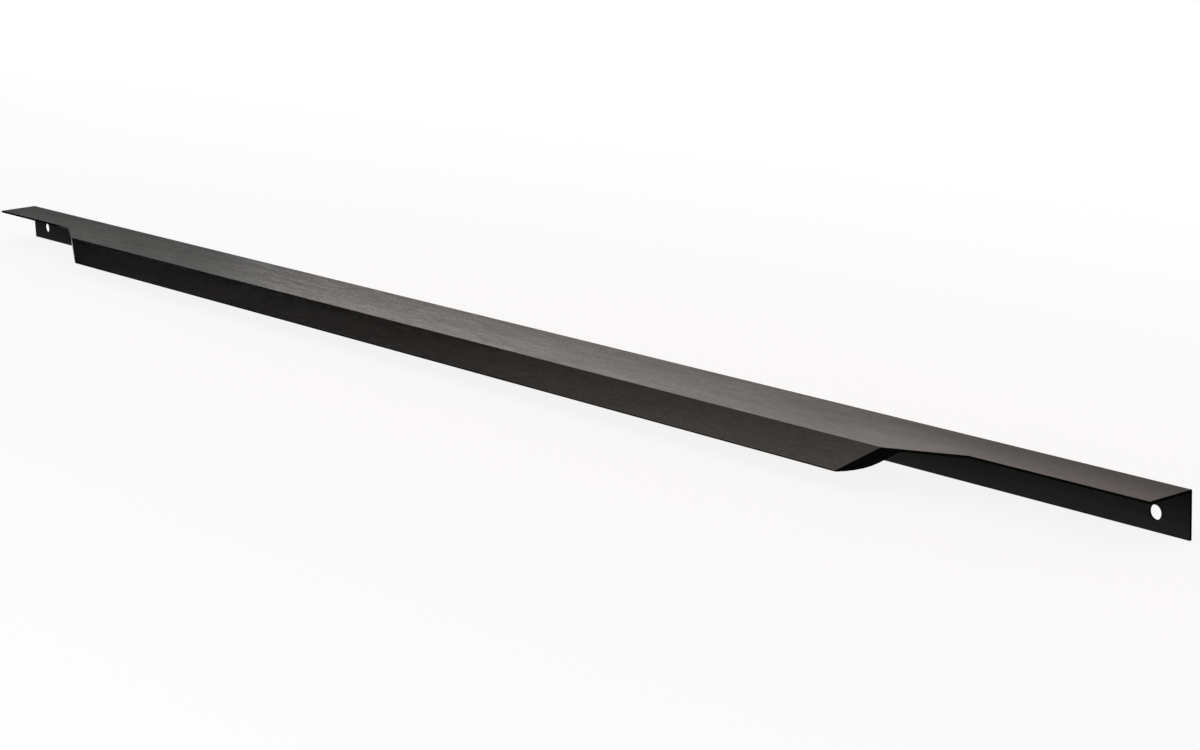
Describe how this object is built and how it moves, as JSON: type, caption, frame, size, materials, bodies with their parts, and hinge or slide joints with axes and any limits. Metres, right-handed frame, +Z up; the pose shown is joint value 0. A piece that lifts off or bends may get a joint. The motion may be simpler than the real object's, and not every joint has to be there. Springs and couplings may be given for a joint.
{
  "type": "handleless finger pull profile",
  "caption": "Long black aluminium edge pull for a cabinet front: screw flange, thin top plate and a slanted finger nose with flared ends.",
  "frame": {"origin": "middle of the line between the two screw holes, on the flange face that lies against the back of the cabinet front", "axes": "+X along the profile, -Y forward from the flange towards the nose and out into the room, +Z up, the top plate level"},
  "size_m": [0.796, 0.0388, 0.0165],
  "materials": {
    "black_anodised": "brushed lengthwise and anodised black, satin"
  },
  "bodies": {
    "root": {"finger_pull_profile": "black_anodised"}
  },
  "joints": []
}
